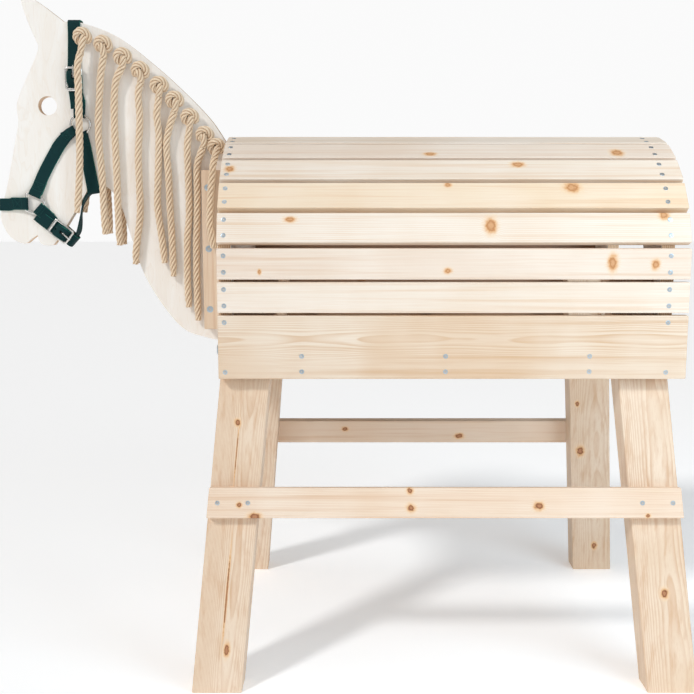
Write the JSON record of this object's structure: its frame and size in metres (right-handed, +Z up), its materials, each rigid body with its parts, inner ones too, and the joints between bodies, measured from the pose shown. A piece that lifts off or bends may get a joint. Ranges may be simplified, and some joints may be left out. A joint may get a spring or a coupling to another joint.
{
  "type": "wooden garden horse",
  "caption": "Slatted wooden garden horse with a flat plywood head, knotted rope mane, webbing halter with buckles, splayed legs and side rails.",
  "frame": {"origin": "on the ground under the middle of the horse's bounding box", "axes": "+X towards the tail, so the head points to -X; +Y to the horse's right; +Z up"},
  "size_m": [1.0933, 0.546, 1.052],
  "materials": {
    "pine_barrel": "planed pine, unfinished",
    "pine_legs": "planed pine, unfinished",
    "pine_rails": "planed pine, unfinished",
    "pine_battens": "planed pine, unfinished",
    "birch_plywood_head": "sanded birch plywood",
    "birch_plywood_arches": "birch plywood",
    "zinc_fasteners": "bright zinc plate",
    "nickel_hardware": "nickel plate",
    "halter_webbing": "woven polyester webbing",
    "mane_rope": "three-strand laid rope"
  },
  "bodies": {
    "horse": {"head_board": "birch_plywood_head", "neck_batten_left": "pine_battens", "neck_batten_right": "pine_battens", "front_panel": "birch_plywood_arches", "rear_arch": "birch_plywood_arches", "side_board_left": "pine_barrel", "side_board_right": "pine_barrel", "ridge_slat": "pine_barrel", "slat_left_1": "pine_barrel", "slat_left_2": "pine_barrel", "slat_left_3": "pine_barrel", "slat_left_4": "pine_barrel", "slat_left_5": "pine_barrel", "slat_left_6": "pine_barrel", "slat_left_7": "pine_barrel", "slat_right_1": "pine_barrel", "slat_right_2": "pine_barrel", "slat_right_3": "pine_barrel", "slat_right_4": "pine_barrel", "slat_right_5": "pine_barrel", "slat_right_6": "pine_barrel", "slat_right_7": "pine_barrel", "cross_batten_1": "pine_battens", "cross_batten_2": "pine_battens", "cross_batten_3": "pine_battens", "leg_front_left": "pine_legs", "leg_front_right": "pine_legs", "leg_rear_left": "pine_legs", "leg_rear_right": "pine_legs", "rail_left": "pine_rails", "rail_right": "pine_rails", "wood_screws": "zinc_fasteners", "neck_screws": "zinc_fasteners", "leg_bolts": "zinc_fasteners", "crown_strap": "halter_webbing", "crown_chape": "halter_webbing", "crown_buckle_frame": "nickel_hardware", "cheek_ring_left": "nickel_hardware", "cheek_ring_right": "nickel_hardware", "cheek_strap_left": "halter_webbing", "cheek_strap_right": "halter_webbing", "throat_strap": "halter_webbing", "jaw_strap": "halter_webbing", "nose_ring_left": "nickel_hardware", "nose_ring_right": "nickel_hardware", "noseband": "halter_webbing", "chin_strap": "halter_webbing", "chin_chape": "halter_webbing", "chin_buckle_frame": "nickel_hardware", "mane_rope_1": "mane_rope", "mane_rope_2": "mane_rope", "mane_rope_3": "mane_rope", "mane_rope_4": "mane_rope", "mane_rope_5": "mane_rope", "mane_rope_6": "mane_rope", "mane_rope_7": "mane_rope", "mane_rope_8": "mane_rope", "mane_rope_9": "mane_rope"},
    "crown_tongue": {"crown_buckle_tongue": "nickel_hardware"},
    "chin_tongue": {"chin_buckle_tongue": "nickel_hardware"}
  },
  "joints": [
    {"name": "crown_tongue_hinge", "type": "hinge", "parent": "horse", "child": "crown_tongue", "pos_m": [-0.4133, -0.0155, 0.92], "axis": [1, 0, 0], "range_deg": [0, 80]},
    {"name": "chin_tongue_hinge", "type": "hinge", "parent": "horse", "child": "chin_tongue", "pos_m": [-0.44165, -0.0155, 0.67126], "axis": [-0.682, 0, -0.7314], "range_deg": [0, 80]}
  ]
}
